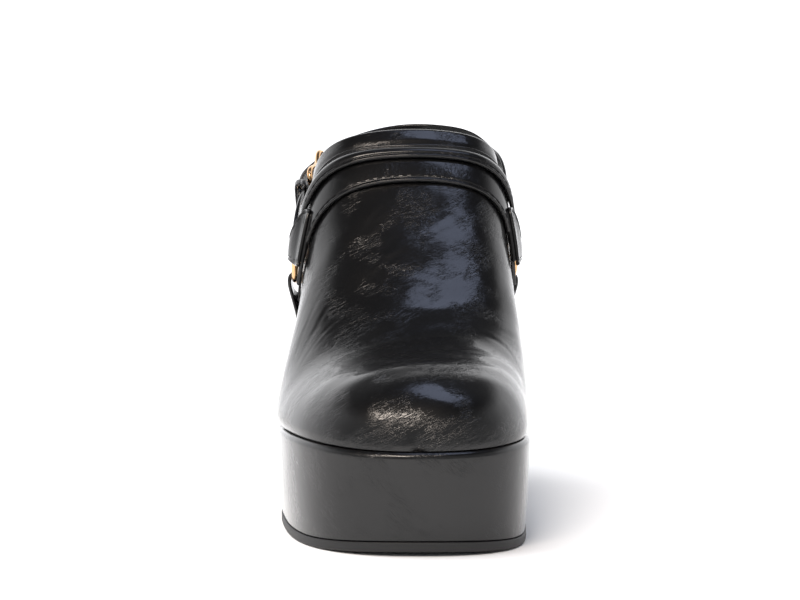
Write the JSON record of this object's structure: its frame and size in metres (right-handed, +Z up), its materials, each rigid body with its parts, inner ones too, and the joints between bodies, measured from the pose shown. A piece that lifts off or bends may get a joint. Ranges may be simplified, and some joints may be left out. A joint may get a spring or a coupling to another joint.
{
  "type": "platform mule",
  "caption": "Open-backed right mule on a thick wrapped platform and block heel, with a closed toe, instep bands, side rings and a buckled back strap",
  "frame": {"origin": "on the floor under the ball of the foot, on the shoe's long axis", "axes": "+Z up, +Y from the toe to the heel, +X to the medial side"},
  "size_m": [0.1039, 0.24, 0.1588],
  "materials": {
    "patent": "crinkled patent leather, high gloss",
    "rubber": "matt moulded rubber",
    "lining": "smooth matt lining leather",
    "gold": "polished pale gold plate"
  },
  "bodies": {
    "root": {"outsole": "rubber", "platform": "patent", "heel": "patent", "heel_top_piece": "rubber", "insole": "lining", "upper": "patent", "instep_band_lower": "patent", "instep_band_upper": "patent", "ring_lateral": "gold", "ring_medial": "gold", "ring_tab_lateral": "patent", "ring_tab_medial": "patent", "stay_strap_lateral": "patent", "stay_strap_medial": "patent", "buckle_strap": "patent", "heel_strap": "patent", "buckle_frame": "gold", "buckle_prong": "gold", "strap_keeper": "patent"}
  },
  "joints": []
}
